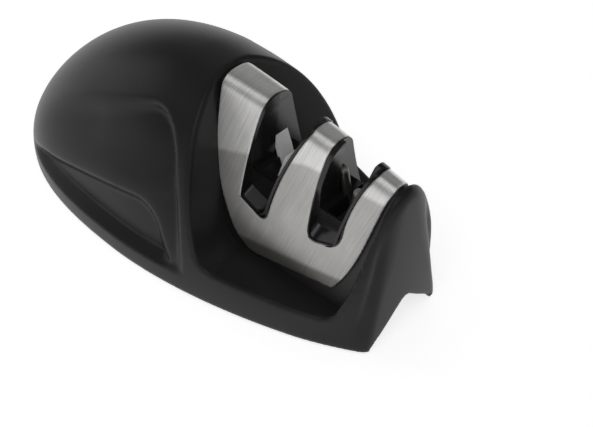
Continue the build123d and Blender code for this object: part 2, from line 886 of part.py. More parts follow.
# Rubber feet
for foot_name, place in zip(
    ("rear_near_foot", "rear_far_foot", "front_near_foot", "front_far_foot"), foot_places
):
    with BuildPart() as foot:
        with BuildSketch(Plane.XY):
            with Locations(place):
                Circle(foot_diameter / 2)
        extrude(amount=base_lift + foot_recess)
        fillet(foot.edges().group_by(Axis.Z)[0], foot_edge)
    pieces[foot_name] = foot.part

for name, piece in pieces.items():
    piece.label = name
    export_step(piece, f"parts/{name}.step")
    print(name, piece.is_valid, len(piece.solids()), round(piece.volume, 1))
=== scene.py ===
# %% [markdown]
# A pull through knife sharpener, dressed for its picture. The solids made
# in the CAD program are loaded first. They fix every size and place, so
# each piece below is made in the same frame: X runs from the rounded heel
# to the nose, -Y is the side nearest the camera, Z is up, and the table
# is at zero. Lengths are worked out in millimetres and turned into metres
# when a mesh is made.

# %% Load the frame
import bmesh
import bpy
import math
import numpy as np
from mathutils import Matrix, Vector


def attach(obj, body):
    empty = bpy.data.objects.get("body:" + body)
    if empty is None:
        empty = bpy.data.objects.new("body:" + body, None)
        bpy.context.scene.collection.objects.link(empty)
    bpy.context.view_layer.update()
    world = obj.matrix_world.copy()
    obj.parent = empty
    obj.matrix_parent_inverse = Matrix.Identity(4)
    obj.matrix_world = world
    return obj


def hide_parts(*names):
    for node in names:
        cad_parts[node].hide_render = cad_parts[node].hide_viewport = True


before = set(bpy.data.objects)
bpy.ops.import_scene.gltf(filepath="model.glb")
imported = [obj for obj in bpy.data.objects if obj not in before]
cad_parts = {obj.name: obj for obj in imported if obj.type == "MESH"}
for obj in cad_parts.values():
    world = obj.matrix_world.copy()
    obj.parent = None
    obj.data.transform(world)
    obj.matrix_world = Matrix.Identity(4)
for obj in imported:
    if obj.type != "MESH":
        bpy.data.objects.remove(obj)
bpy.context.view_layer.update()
MM = 0.001
print("nodes in the frame:", len(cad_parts))

# %% [markdown]
# The camera comes before the pieces. It could be placed by eye, but here its
# place and turn were worked out from the outline of the real object, and
# its lens from how fast the far end grows smaller.

# %% Camera
PICTURE = (593, 427)
FOCAL_PIXELS = 969.62
DISTANCE = 298.73
ASIDE, RAISED = 23.6, -3.65
toward = Vector((0.4918, -0.5211, 0.6976)).normalized()
right = Vector((0.7273, 0.6863, 0.0)).normalized()
up = toward.cross(right)
camera = bpy.data.objects.new("camera", bpy.data.cameras.new("camera"))
camera.data.sensor_width = 36.0
camera.data.lens = camera.data.sensor_width * FOCAL_PIXELS / PICTURE[0]
turn = Matrix((right, up, toward)).transposed().to_4x4()
place = (toward * DISTANCE + right * ASIDE + up * RAISED) * MM
camera.matrix_world = Matrix.Translation(place) @ turn
camera.data.clip_start = 0.01
bpy.context.collection.objects.link(camera)
bpy.context.scene.camera = camera
print("camera at", [round(v, 3) for v in place], "lens", round(camera.data.lens, 1))

# %% [markdown]
# A few helpers are used by every piece. One makes a mesh from points and
# faces. Two others write materials in fewer words: one adds a node and
# sets its inputs by name, and one starts a material with its shader.

# %% Mesh and material helpers
def link_mesh(name, points, faces, smooth=True):
    """Makes an object from points in millimetres, at the origin."""
    mesh = bpy.data.meshes.new(name)
    mesh.from_pydata((np.asarray(points, float) * MM).tolist(), [], [list(f) for f in faces])
    mesh.update()
    mesh.polygons.foreach_set("use_smooth", [smooth] * len(mesh.polygons))
    piece = bpy.data.objects.new(name, mesh)
    bpy.context.collection.objects.link(piece)
    return piece


def node(tree, kind, **values):
    """Adds a node. Keys with a capital letter are inputs, the others are settings."""
    made = tree.nodes.new(kind)
    for key, value in values.items():
        if key[0].isupper():
            socket = made.inputs[key.replace("_", " ")]
            if isinstance(value, bpy.types.NodeSocket):
                tree.links.new(value, socket)
            else:
                socket.default_value = value
        else:
            setattr(made, key, value)
    return made


def math_node(tree, operation, a, b=0.0):
    """Adds a Math node and gives back its output."""
    made = tree.nodes.new("ShaderNodeMath")
    made.operation = operation
    for socket, value in zip(made.inputs, (a, b)):
        if isinstance(value, bpy.types.NodeSocket):
            tree.links.new(value, socket)
        else:
            socket.default_value = value
    return made.outputs[0]


def new_material(name, **settings):
    """A material with one Principled shader, and Object coordinates for its patterns."""
    material = bpy.data.materials.new(name)
    material.use_nodes = True
    tree = material.node_tree
    tree.nodes.clear()
    shader = node(tree, "ShaderNodeBsdfPrincipled", **settings)
    output = tree.nodes.new("ShaderNodeOutputMaterial")
    tree.links.new(shader.outputs[0], output.inputs[0])
    where = tree.nodes.new("ShaderNodeTexCoord").outputs["Object"]
    return material, tree, shader, where


def finish_with(piece, material, body="root"):
    """Gives a piece its one material and its body."""
    piece.data.materials.clear()
    piece.data.materials.append(material)
    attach(piece, body)


print("helpers ready")

# %% [markdown]
# Some effects are used by more than one material, so each is a shader
# node group. Spark texture is the fine grain that spark erosion leaves in
# a mould: a tiny bump, a slow change of shade where hands have polished
# it, and a little change of roughness. The group takes a position and
# sizes, and puts out a shade, a roughness and a height.

# %% Shader group: moulded grain
def new_group(name, inputs, outputs):
    """A shader node group with float inputs (name: default) and named outputs."""
    group = bpy.data.node_groups.new(name, "ShaderNodeTree")
    group.interface.new_socket("Vector", in_out="INPUT", socket_type="NodeSocketVector")
    for label, default in inputs.items():
        made = group.interface.new_socket(label, in_out="INPUT", socket_type="NodeSocketFloat")
        made.default_value = default
    for label in outputs:
        group.interface.new_socket(label, in_out="OUTPUT", socket_type="NodeSocketFloat")
    start = group.nodes.new("NodeGroupInput")
    end = group.nodes.new("NodeGroupOutput")
    return group, start.outputs, end.inputs


grain, given, result = new_group(
    "moulded_grain",
    {"Grain Scale": 2600.0, "Cloud Scale": 45.0, "Roughness": 0.5, "Spread": 0.08},
    ("Shade", "Roughness", "Height"),
)
fine = node(grain, "ShaderNodeTexNoise", Vector=given["Vector"], Scale=given["Grain Scale"],
            Detail=3.0, Roughness=0.6)
cloud = node(grain, "ShaderNodeTexNoise", Vector=given["Vector"], Scale=given["Cloud Scale"],
             Detail=2.0, Roughness=0.5)
centred = math_node(grain, "SUBTRACT", cloud.outputs[0], 0.5)
spread = math_node(grain, "MULTIPLY", centred, given["Spread"])
speck = math_node(grain, "MULTIPLY", math_node(grain, "SUBTRACT", fine.outputs[0], 0.5), 0.25)
grain.links.new(math_node(grain, "ADD", math_node(grain, "ADD", cloud.outputs[0], speck), 0.0),
                result["Shade"])
grain.links.new(math_node(grain, "ADD", given["Roughness"], spread), result["Roughness"])
grain.links.new(fine.outputs[0], result["Height"])
print("group:", grain.name)

# %% [markdown]
# Brushed steel is drawn over an abrasive belt, so its scratches are long,
# thin and all one way. A noise pattern squeezed across the strokes and
# stretched along them looks the same. The strokes here lean a little from
# upright, as they do on the real cover, and a few are deeper.

# %% Shader group: brushed strokes
brushed, given, result = new_group(
    "brushed_strokes",
    {"Across": 2400.0, "Along": 60.0, "Lean": 0.35, "Roughness": 0.3, "Spread": 0.1},
    ("Shade", "Roughness", "Height"),
)
parts = node(brushed, "ShaderNodeSeparateXYZ", Vector=given["Vector"])
leaned = math_node(brushed, "SUBTRACT", parts.outputs[0],
                   math_node(brushed, "MULTIPLY", parts.outputs[2], given["Lean"]))
across = math_node(brushed, "MULTIPLY", leaned, given["Across"])
side = math_node(brushed, "MULTIPLY", parts.outputs[1], given["Along"])
along = math_node(brushed, "MULTIPLY", parts.outputs[2], given["Along"])
joined = node(brushed, "ShaderNodeCombineXYZ", X=across, Y=side, Z=along)
stroke = node(brushed, "ShaderNodeTexNoise", Vector=joined.outputs[0], Scale=1.0,
              Detail=4.0, Roughness=0.65)
slow = node(brushed, "ShaderNodeTexNoise", Vector=given["Vector"], Scale=120.0, Detail=2.0)
mixed = math_node(brushed, "ADD", math_node(brushed, "MULTIPLY", stroke.outputs[0], 0.75),
                  math_node(brushed, "MULTIPLY", slow.outputs[0], 0.25))
varied = math_node(brushed, "MULTIPLY", math_node(brushed, "SUBTRACT", mixed, 0.5),
                   given["Spread"])
brushed.links.new(mixed, result["Shade"])
brushed.links.new(math_node(brushed, "ADD", given["Roughness"], varied), result["Roughness"])
brushed.links.new(stroke.outputs[0], result["Height"])
print("group:", brushed.name)

# %% [markdown]
# Most finishes here differ only in numbers: two close shades, a group for
# the pattern, and how rough and how bumpy it is. One function makes them
# all, so that each finish is a single readable line.

# %% Finishes
def patterned(name, group, dark, light, bump, depth, values, **settings):
    """A material whose shade, roughness and bump come from one of the groups."""
    material, tree, shader, where = new_material(name, **settings)
    pattern = tree.nodes.new("ShaderNodeGroup")
    pattern.node_tree = group
    tree.links.new(where, pattern.inputs["Vector"])
    for key, value in values.items():
        pattern.inputs[key].default_value = value
    ramp = tree.nodes.new("ShaderNodeValToRGB")
    ramp.color_ramp.elements[0].position = 0.3
    ramp.color_ramp.elements[1].position = 0.7
    ramp.color_ramp.elements[0].color = (*dark, 1.0)
    ramp.color_ramp.elements[1].color = (*light, 1.0)
    tree.links.new(pattern.outputs["Shade"], ramp.inputs[0])
    tree.links.new(ramp.outputs[0], shader.inputs["Base Color"])
    tree.links.new(pattern.outputs["Roughness"], shader.inputs["Roughness"])
    relief = node(tree, "ShaderNodeBump", Strength=bump, Distance=depth * MM,
                  Height=pattern.outputs["Height"])
    tree.links.new(relief.outputs[0], shader.inputs["Normal"])
    return material


housing_plastic = patterned(
    "housing_plastic", grain, (0.019, 0.019, 0.020), (0.026, 0.026, 0.0272), 0.2, 0.01,
    {"Grain Scale": 2600.0, "Roughness": 0.36, "Spread": 0.06}, Specular_IOR_Level=0.16)
liner_plastic = patterned(
    "liner_plastic", grain, (0.013, 0.013, 0.0145), (0.018, 0.018, 0.0195), 0.05, 0.005,
    {"Grain Scale": 4000.0, "Roughness": 0.24, "Spread": 0.06}, Specular_IOR_Level=0.4)
core_plastic = patterned(
    "core_plastic", grain, (0.008, 0.008, 0.009), (0.012, 0.012, 0.013), 0.3, 0.02,
    {"Grain Scale": 2200.0, "Roughness": 0.5, "Spread": 0.1})
base_plastic = patterned(
    "base_plastic", grain, (0.010, 0.010, 0.011), (0.016, 0.016, 0.017), 0.5, 0.03,
    {"Grain Scale": 1800.0, "Roughness": 0.5, "Spread": 0.1})
foot_rubber = patterned(
    "foot_rubber", grain, (0.02, 0.02, 0.02), (0.035, 0.035, 0.034), 0.6, 0.03,
    {"Grain Scale": 1500.0, "Roughness": 0.78, "Spread": 0.12})
brushed_steel = patterned(
    "brushed_cover", brushed, (0.62, 0.62, 0.61), (0.98, 0.97, 0.95), 0.12, 0.005,
    {"Across": 3600.0, "Along": 80.0, "Lean": 0.3, "Roughness": 0.44, "Spread": 0.08},
    Metallic=0.7, Anisotropic=0.9)
strap_steel = patterned(
    "strap_steel", brushed, (0.45, 0.45, 0.45), (0.62, 0.62, 0.62), 0.2, 0.01,
    {"Across": 1500.0, "Along": 90.0, "Lean": 0.0, "Roughness": 0.35, "Spread": 0.1},
    Metallic=1.0)
screw_steel = patterned(
    "screw_steel", grain, (0.42, 0.42, 0.43), (0.62, 0.62, 0.63), 0.15, 0.01,
    {"Grain Scale": 3000.0, "Roughness": 0.32, "Spread": 0.1}, Metallic=1.0)
# The carbide plates are painted near white: a painted reflection of the bright studio in their
# ground faces, which lie in the slot's shade.
carbide = patterned(
    "carbide", grain, (0.93, 0.93, 0.93), (0.98, 0.98, 0.97), 0.15, 0.01,
    {"Grain Scale": 3500.0, "Roughness": 0.4, "Spread": 0.1})
ceramic = patterned(
    "ceramic_rod", grain, (0.28, 0.28, 0.25), (0.38, 0.38, 0.34), 0.1, 0.01,
    {"Grain Scale": 3500.0, "Roughness": 0.3, "Spread": 0.1})
print("finishes:", len(bpy.data.materials))

# %% [markdown]
# Light and shade are painted into the steel's colour. Its upper flank keeps
# the bright colour, and from a level line downwards the lower flank is
# painted a shade duller and a little warmer, a painted reflection of darker
# ground near the object. Along the bottom edge a strip a few millimetres
# wide curls in and is painted duller still, as painted shade. Both multiply
# the base colour. The strokes also stretch the highlights sideways, which
# is what the anisotropic setting and its tangent along X do.

# %% Painted reflection and shade on the steel, and painted shade on the rods below their tips
# Painted shade: below a level line the colour falls to Below, and in a strip along the bottom edge
# to Strip.
painted_levels, given, result = new_group(
    "level_tones",
    {"Level": 0.0319, "Rise": 0.3, "Highest": 0.0445, "Below": 0.62, "Strip Height": 0.0038,
     "Strip": 0.4},
    ("Tone",),
)
spot = node(painted_levels, "ShaderNodeSeparateXYZ", Vector=given["Vector"])
border = math_node(painted_levels, "ADD", math_node(painted_levels, "MULTIPLY", spot.outputs[0], given["Rise"]),
                   given["Level"])
border = math_node(painted_levels, "MINIMUM", border, given["Highest"])
upper = node(painted_levels, "ShaderNodeMapRange", Value=math_node(painted_levels, "SUBTRACT", spot.outputs[2],
                                                          border))
upper.inputs["From Min"].default_value = -0.0006
upper.inputs["From Max"].default_value = 0.0006
painted_levels.links.new(given["Below"], upper.inputs["To Min"])
edge = math_node(painted_levels, "ADD", math_node(painted_levels, "MULTIPLY", spot.outputs[0], 0.1384), 0.00738)
lift = math_node(painted_levels, "DIVIDE", math_node(painted_levels, "SUBTRACT", spot.outputs[2], edge),
                 given["Strip Height"])
strip = node(painted_levels, "ShaderNodeMapRange", Value=lift, interpolation_type="SMOOTHSTEP")
strip.inputs["From Min"].default_value = 0.75
strip.inputs["From Max"].default_value = 1.2
painted_levels.links.new(given["Strip"], strip.inputs["To Min"])
painted_levels.links.new(math_node(painted_levels, "MULTIPLY", upper.outputs[0], strip.outputs[0]), result["Tone"])


def shade_painted(material, shade_tint, **values):
    """Multiplies the base colour of a material by painted shade below a level line and along the
    bottom strip.
    """
    tree = material.node_tree
    shader = next(n for n in tree.nodes if n.type == "BSDF_PRINCIPLED")
    place = next(n for n in tree.nodes if n.type == "TEX_COORD").outputs["Object"]
    group = tree.nodes.new("ShaderNodeGroup")
    group.node_tree = painted_levels
    tree.links.new(place, group.inputs["Vector"])
    for key, value in values.items():
        group.inputs[key].default_value = value
    tint = node(tree, "ShaderNodeMix", data_type="RGBA", blend_type="MIX")
    tree.links.new(group.outputs["Tone"], tint.inputs[0])
    tint.inputs[6].default_value = (*shade_tint, 1.0)
    tint.inputs[7].default_value = (1.0, 1.0, 1.0, 1.0)
    product = node(tree, "ShaderNodeMix", data_type="RGBA", blend_type="MULTIPLY")
    product.inputs[0].default_value = 1.0
    tree.links.new(shader.inputs["Base Color"].links[0].from_socket, product.inputs[6])
    tree.links.new(tint.outputs[2], product.inputs[7])
    tree.links.new(product.outputs[2], shader.inputs["Base Color"])
    return tree, shader


# The steel's lower flank gets a painted reflection, duller and warmer, and its bottom strip gets
# painted shade.
tree, shader = shade_painted(brushed_steel, (0.03, 0.02, 0.0))
sideways = node(tree, "ShaderNodeCombineXYZ", X=1.0, Y=0.0, Z=0.0)
tree.links.new(sideways.outputs[0], shader.inputs["Tangent"])
# The rods are painted a tenth as bright below 40.8 mm, painted shade down in the slot; only their
# tips keep the rod's colour.
shade_painted(ceramic, (0.0, 0.0, 0.0), Level=0.0408, Rise=0.0, Highest=1.0, Below=0.1, Strip=1.0)
print("steel and rods toned by:", painted_levels.name)

# %% [markdown]
# The housing is one moulded shell: a palm rest, a dent for the fingers on
# each flank, deep pockets beside the steel, and a nose with an arch cut
# in its foot. Such soft, blended forms are hard to get by pushing single
# vertices. Here the shell is written as a rule instead: a function that
# is below zero inside the plastic and above zero outside. Rounded edges
# come from a smooth maximum of two such functions, just as a mould maker
# rounds the edge where two surfaces meet.

# %% Tools for rules
def ease(t):
    """Goes smoothly from 0 to 1 as t goes from 0 to 1."""
    t = np.clip(t, 0.0, 1.0)
    return t * t * (3.0 - 2.0 * t)


def both(a, b, radius):
    """Inside both a and b, with the edge between them rounded."""
    share = np.clip(0.5 + 0.5 * (a - b) / radius, 0.0, 1.0)
    return b + (a - b) * share + radius * share * (1.0 - share)


print("an edge rounded by 2 stands", both(0.0, 0.0, 2.0), "off the sharp one")

# %% [markdown]
# The palm rest has an outline from above, an outline from the side, and
# half an ellipse for every cross section. The powers below set how full
# each curve is. They match the solids, so this piece covers them.

# %% Palm rest
LENGTH, HALF_WIDTH, HEIGHT = 145.0, 36.0, 56.5
REAR_X, FRONT_X = -LENGTH / 2, LENGTH / 2
WIDEST_X, NOSE_HALF_WIDTH = -7.0, 15.7
NOSE_HEIGHT, NOSE_HEIGHT_X = 52.0, 50.0
PLAN_POWERS, SIDE_POWERS = (2.47, 1.81), (1.79, 1.78)
SKIRT, TABLE_GAP, WALL = 3.0, 0.8, 2.2


def half_width(x):
    """Half width of the body at the table, from above."""
    t = np.clip((WIDEST_X - x) / (WIDEST_X - REAR_X), 0.0, 0.9999)
    s = np.clip((x - WIDEST_X) / (FRONT_X - WIDEST_X), 0.0, None)
    rear = HALF_WIDTH * (1.0 - t ** PLAN_POWERS[0]) ** (1.0 / PLAN_POWERS[0])
    front = HALF_WIDTH - (HALF_WIDTH - NOSE_HALF_WIDTH) * s ** PLAN_POWERS[1]
    return np.where(x < WIDEST_X, rear, front)


def crest_height(x):
    """Height of the crest, from the side."""
    t = np.clip(-x / -REAR_X, 0.0, 0.9999)
    s = np.clip(x / NOSE_HEIGHT_X, 0.0, None)
    rear = HEIGHT * (1.0 - t ** SIDE_POWERS[0]) ** (1.0 / SIDE_POWERS[0])
    front = HEIGHT - (HEIGHT - NOSE_HEIGHT) * s ** SIDE_POWERS[1]
    return np.where(x < 0.0, rear, front)


def arch_of(x, y, z):
    """1 on the palm rest, less inside it."""
    w, h = half_width(x), crest_height(x)
    skirt = np.minimum(SKIRT, h / 2)
    rise = np.maximum(z - skirt, 0.0) / (h - skirt)
    return np.sqrt((y / w) ** 2 + rise ** 2 + 1e-9)


def palm_rest(x, y, z):
    """About the distance to the palm rest."""
    step = 0.2
    level = arch_of(x, y, z)
    slope = np.sqrt(
        ((arch_of(x + step, y, z) - level) / step) ** 2
        + ((arch_of(x, y + step, z) - level) / step) ** 2
        + ((arch_of(x, y, z + step) - level) / step) ** 2
    )
    rest = (level - 1.0) / np.maximum(slope, 0.012)
    return np.maximum(np.clip(rest, -12.0, 12.0), REAR_X - x)


print("half width amidships", float(half_width(np.array(WIDEST_X))))

# %% [markdown]
# The finger dent has two levels. The upper one is a shallow dish below
# the top of the flank, with a firm edge against the pillar. A rounded
# ridge crosses it from the heel, bends down beside the pillar, and below
# the ridge the wall steps in again. Both are written as a depth below the
# flank, by place from the side.

# %% Finger dent
def curve_of(places, values, power=3):
    """A smooth curve through places, as a function that holds its ends."""
    factors = np.polyfit(places, values, power)
    low, high = min(places), max(places)
    return lambda at: np.polyval(factors, np.clip(at, low, high))


pillar_edge = curve_of((0.0, 13.0, 27.1, 37.8, 45.5, 53.0), (21.2, 20.7, 18.3, 14.4, 9.6, 3.0))
dent_top = curve_of((-60.0, -40.0, -26.0, -15.0, -4.0, 8.0, 20.0),
                    (20.0, 33.5, 41.5, 46.0, 48.8, 50.5, 51.5))
ridge_height = curve_of((-60.0, -45.0, -33.7, -12.8, 1.0, 12.0),
                        (10.0, 14.5, 18.2, 23.4, 25.8, 27.5))
ridge_end = curve_of((4.0, 11.5, 17.5, 22.0, 28.0), (17.6, 15.2, 12.8, 10.8, 7.6))


def finger_dent(x, z):
    """Depth of the dent below the flank."""
    inside = -both((x - pillar_edge(z)) * 0.95, (z - dent_top(x)) * 0.9, 9.0)
    below = -both((z - ridge_height(x)) * 0.95, (x - ridge_end(z)) * 0.9, 7.0)
    edge = 3.9 + 4.7 * ease((4.0 - x) / 24.0)
    dish = 3.2 * ease(inside / edge) * ease((x + 56.0) / 36.0)
    dish = dish * (1.0 - 0.65 * np.exp(-(np.maximum(-below, 0.0) / 6.0) ** 2))
    panel = 2.6 * ease(below / 4.6) * ease((x + 60.0) / 18.0)
    return (dish + panel) * ease((z - 7.4) / 2.4)


def backing(x, z):
    """How much thicker the wall is behind the dent, so that it keeps its strength."""
    return 4.4 * ease((z - 4.4) / 2.6) * ease((x + 66.0) / 8.0) * ease((34.0 - x) / 8.0)


print("dent at its deepest", float(finger_dent(np.array(5.0), np.array(17.0))))

# %% [markdown]
# A pocket on each side gives a knife room beside the slots. Its rear wall
# and floor lean, so they draw from the mould. The nose is closed by a
# leaning front face with a softly rounded corner on either side, and its
# foot is cut away in an arch.

# %% Pockets, nose and arch
POCKET_PLANE, POCKET_INNER = 32.0, 5.5
REAR_WALL = np.polyfit((13.4, 34.0, 55.0), (25.6, 20.8, 18.3), 2)
front_wall = curve_of((5.0, 13.4, 20.0, 30.0, 38.0, 46.0, 56.0),
                      (59.0, 62.5, 65.0, 66.9, 67.3, 67.2, 67.0))
nose_crease = curve_of((-2.0, 7.0, 18.0, 31.0, 38.0, 48.0, 58.0),
                       (15.6, 14.0, 12.2, 9.6, 7.9, 5.4, 3.4))


def pocket(x, y, z):
    """Below zero in the pocket beside the steel."""
    inward = POCKET_PLANE - np.maximum(y, POCKET_INNER)
    level = np.clip(z, 5.0, 60.0)
    rear = (np.polyval(REAR_WALL, level) - inward * math.tan(math.radians(18.0)) - x) / 1.07
    floor = (13.4 - inward * math.tan(math.radians(10.0)) - z) / 1.02
    front = (x - front_wall(z)) / 1.06
    return both(both(rear, floor, 5.0), front, 3.0)


def nose(x, y, z):
    """Below zero behind the front face and its rounded corners."""
    face_x = FRONT_X - 2.5 * np.maximum(z, 0.0) / 52.0 - 0.004 * y * y
    face = x - face_x
    lean = 0.58 + 0.33 * ease((z - 5.0) / 25.0)
    cheek = (x - face_x + 0.5) * lean + (y - nose_crease(z)) * np.sqrt(1 - lean ** 2)
    groove = 0.85 * np.exp(-((y - nose_crease(z) - 0.6) / 1.1) ** 2) * ease((z - 4.0) / 10.0)
    groove = groove * ease((44.0 - z) / 14.0)
    return both(face, cheek, 1.5) + groove


def foot_arch(x, y, z):
    """Below zero in the arch under the nose."""
    roof = both((z - (13.5 - 0.88 * y)) * 0.75, z - 12.9, 1.6)
    return both(both(roof, y - 12.5, 0.8), FRONT_X - 5.0 - x, 0.5)


def housing_rule(x, y, z):
    """The whole shell."""
    y = np.abs(y)
    rest = palm_rest(x, y, z)
    body = both(rest + finger_dent(x, z), nose(x, y, z), 2.8)
    skin = both(body, -pocket(x, y, z), 1.2)
    room = both(both(rest + backing(x, z), nose(x, y, z), 4.0), -pocket(x, y, z), 1.2)
    shell = both(skin, -(room + WALL), 0.5)
    shell = both(shell, TABLE_GAP - z, 1.4)
    return both(shell, -foot_arch(x, y, z), 0.7)


print("the crest is at", float(crest_height(np.array(0.0))))

# %% [markdown]
# A rule has no vertices, so it is turned into a mesh. Blender's metaballs
# or a volume could do it too, but they know no such rules. Here a grid of
# small cells is laid over the rule. Each cell that the surface crosses
# gets one vertex, and each grid edge that it crosses gets one face between
# the four cells round it. Newton's method then moves the vertices onto the
# surface.

# %% Steps onto a surface
def gradient(rule, p, step=0.05):
    """Value and slope of a rule at points."""
    value = rule(*p.T)
    slope = np.empty_like(p)
    for axis in range(3):
        moved = p.copy()
        moved[:, axis] += step
        slope[:, axis] = (rule(*moved.T) - value) / step
    return value, slope


def settle(rule, p, cell):
    """Moves points onto the surface of a rule, by half a cell at most."""
    value, slope = gradient(rule, p)
    size = np.maximum((slope ** 2).sum(1), 0.05)
    move = -(value / size)[:, None] * slope
    length = np.linalg.norm(move, axis=1)
    return p + move * np.minimum(1.0, 0.5 * cell / np.maximum(length, 1e-9))[:, None]


print("surface steps ready")

# %% [markdown]
# A cell's vertex is the mean of the places where the rule crosses zero on
# the cell's edges. That alone is close to the surface, even before any
# step onto it.

# %% Vertices and faces of the crossed cells
def first_points(value, shape, starts, cell):
    """One point in each crossed cell, and the number of each cell's point."""
    corners = [(i, j, k) for i in (0, 1) for j in (0, 1) for k in (0, 1)]

    def part_of(array, corner):
        i, j, k = corner
        return array[i:i + shape[0], j:j + shape[1], k:k + shape[2]]

    count = sum(part_of(value < 0, c).astype(int) for c in corners)
    crossed = (count > 0) & (count < 8)
    number = np.full(shape, -1)
    number[crossed] = np.arange(crossed.sum())
    at = np.argwhere(crossed)
    held = np.stack([part_of(value, c)[crossed] for c in corners], axis=1)
    spots, hits = np.zeros((len(at), 3)), np.zeros(len(at))
    for a, first in enumerate(corners):
        for b, second in enumerate(corners):
            if b > a and sum(u != v for u, v in zip(first, second)) == 1:
                va, vb = held[:, a], held[:, b]
                cut = (va < 0) != (vb < 0)
                t = np.where(cut, va / np.where(cut, va - vb, 1.0), 0.0)[:, None]
                point = np.array(first) + t * (np.array(second) - np.array(first))
                spots += point * cut[:, None]
                hits += cut
    return (at + spots / hits[:, None]) * cell + starts, number


def first_faces(inside, shape, number):
    """A face across each grid edge that the surface crosses, facing outward."""
    faces = []
    for axis in range(3):
        one, two = [a for a in range(3) if a != axis]
        change = inside != np.roll(inside, -1, axis=axis)
        change = change.take(range(inside.shape[axis] - 1), axis=axis)
        spot = np.argwhere(change)
        spot = spot[(spot[:, one] > 0) & (spot[:, two] > 0)
                    & (spot[:, one] < shape[one]) & (spot[:, two] < shape[two])]
        ring = []
        for back_one, back_two in ((1, 1), (0, 1), (0, 0), (1, 0)):
            beside = spot.copy()
            beside[:, one] -= back_one
            beside[:, two] -= back_two
            ring.append(number[tuple(beside.T)])
        quads = np.stack(ring, axis=1)
        out = inside[tuple(spot.T)]
        if axis == 1:
            out = ~out
        faces.append(np.where(out[:, None], quads, quads[:, ::-1]))
    return np.concatenate(faces)


print("grid steps ready")

# %% [markdown]
# Straight from the grid the faces are uneven, and that shows in a
# highlight. So each vertex also slides along the surface towards the
# middle of its neighbours, and settles again.

# %% Rule to mesh
def evened(rule, points, faces, cell, rounds=3, share=0.6):
    """Slides points along the surface towards the middle of their neighbours."""
    edges = np.concatenate([faces[:, [a, (a + 1) % 4]] for a in range(4)])
    for _ in range(rounds):
        total, number_of = np.zeros_like(points), np.zeros(len(points))
        for a, b in ((0, 1), (1, 0)):
            np.add.at(total, edges[:, a], points[edges[:, b]])
            np.add.at(number_of, edges[:, a], 1)
        slope = gradient(rule, points)[1]
        slope /= np.maximum(np.linalg.norm(slope, axis=1), 1e-9)[:, None]
        move = total / number_of[:, None] - points
        points = points + share * (move - (move * slope).sum(1)[:, None] * slope)
        for _ in range(2):
            points = settle(rule, points, cell)
    return points


def mesh_of_rule(rule, low, high, cell):
    """Points and four-sided faces of the surface where a rule is zero."""
    axes = [np.arange(a, b + cell, cell) for a, b in zip(low, high)]
    value = rule(*np.meshgrid(*axes, indexing="ij"))
    shape = [n - 1 for n in value.shape]
    points, number = first_points(value, shape, np.array([a[0] for a in axes]), cell)
    faces = first_faces(value < 0, shape, number)
    for _ in range(3):
        points = settle(rule, points, cell)
    return evened(rule, points, faces, cell), faces


print("rules can now be meshed")

# %% [markdown]
# The housing's cells are 0.85 mm wide. That is small enough for its
# sharpest edge, which has a radius of about a millimetre, and keeps the
# piece well under 200,000 triangles.

# %% Housing
cell = 0.85
points, faces = mesh_of_rule(housing_rule, (REAR_X - 2, -38.5, -1.5),
                             (FRONT_X + 2, 38.5, 58.5), cell)
housing = link_mesh("moulded_housing", points, faces)
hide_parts("housing")
finish_with(housing, housing_plastic)
print("housing faces:", len(faces), "box", points.min(0).round(1), points.max(0).round(1))

# %% [markdown]
# The cover is a folded sheet. From the side its outline and its two slots
# are flat shapes that are cut straight through both flanks, so each is
# again a rule in the side view. The sheet itself is the skin of the spine,
# from its outside to a sheet's thickness further in. Joined by smooth
# maxima, the cut edges come out slightly rounded, like edges that have
# been deburred. For each slot the table below holds its rear and front
# edge as curves over the height, its floor as height, slope and start, and
# the radii of its corners. The last row of each is about the liner: how
# far its sill climbs, and the depth, top, middle and angle of its block.

# %% Outline of the cover and its slots
SPINE_REAR, SPINE_FRONT, SHEET = 4.0, 76.0, 0.8
CORNER_REAR, CORNER_FRONT, SLOT_EDGE, SHEET_EDGE = 7.0, 0.7, 0.1, 0.2
cover_rear = curve_of((12.9, 21.0, 29.8, 40.7, 54.0), (25.3, 19.1, 14.7, 12.2, 11.0))
cover_front = curve_of((15.3, 23.5, 32.0, 41.4, 47.9), (57.6, 61.4, 63.7, 65.3, 66.8))
SLOTS = {
    "coarse": dict(rear=curve_of((26.1, 40.4, 54.6), (23.4, 24.0, 25.8), 2),
                   front=curve_of((25.1, 38.8, 52.1), (33.4, 35.9, 41.0), 2),
                   floor=(24.6, -0.37, 27.5), corners=(1.0, 3.6), middle=30.0,
                   rise=2.0, depth=8.4, top=33.5, centre=28.6, angle=19.5),
    "fine": dict(rear=curve_of((28.3, 41.1, 52.1), (46.4, 46.4, 47.7), 2),
                 front=curve_of((31.6, 42.6, 49.5), (56.9, 58.5, 61.3), 2),
                 floor=(26.2, 0.30, 51.5), corners=(4.2, 3.2), middle=52.0,
                 rise=2.6, depth=7.5, top=34.0, centre=51.4, angle=13.0),
}


def spine_rule(x, y, z):
    """About the distance to the outside of the spine."""
    share = (x - SPINE_REAR) / (SPINE_FRONT - SPINE_REAR)
    top, foot = 5.7 - 2.6 * share, 17.9 - 3.7 * share
    crest = crest_height(x)
    rise = np.clip((z - 8.0) / (crest - 9.2), 0.0, 1.3)
    flank = (np.abs(y) - foot - (top - foot) * rise - 2.0 * rise * (1.0 - rise)) * 0.955
    roof = z - crest + 1.2 * (y / top) ** 2
    return both(flank, roof, 2.4)


print("slots:", ", ".join(SLOTS), "- half width at the foot",
      round(float(-spine_rule(np.array(30.0), np.array(0.0), np.array(14.0))), 1))

# %% [markdown]
# The outline and the slots are cut from the skin in one go, because a rule
# needs no boolean. The finish is the brushed steel made earlier.

# %% Steel cover
def slot_rule(slot, x, z):
    """Below zero in the opening of a slot, seen from the side."""
    height, slope, start = slot["floor"]
    floor = (height + slope * (x - start) - z) / math.hypot(1.0, slope)
    corner = both(slot["rear"](z) - x, floor, slot["corners"][0])
    return both(corner, (x - slot["front"](z)) * 0.97, slot["corners"][1])


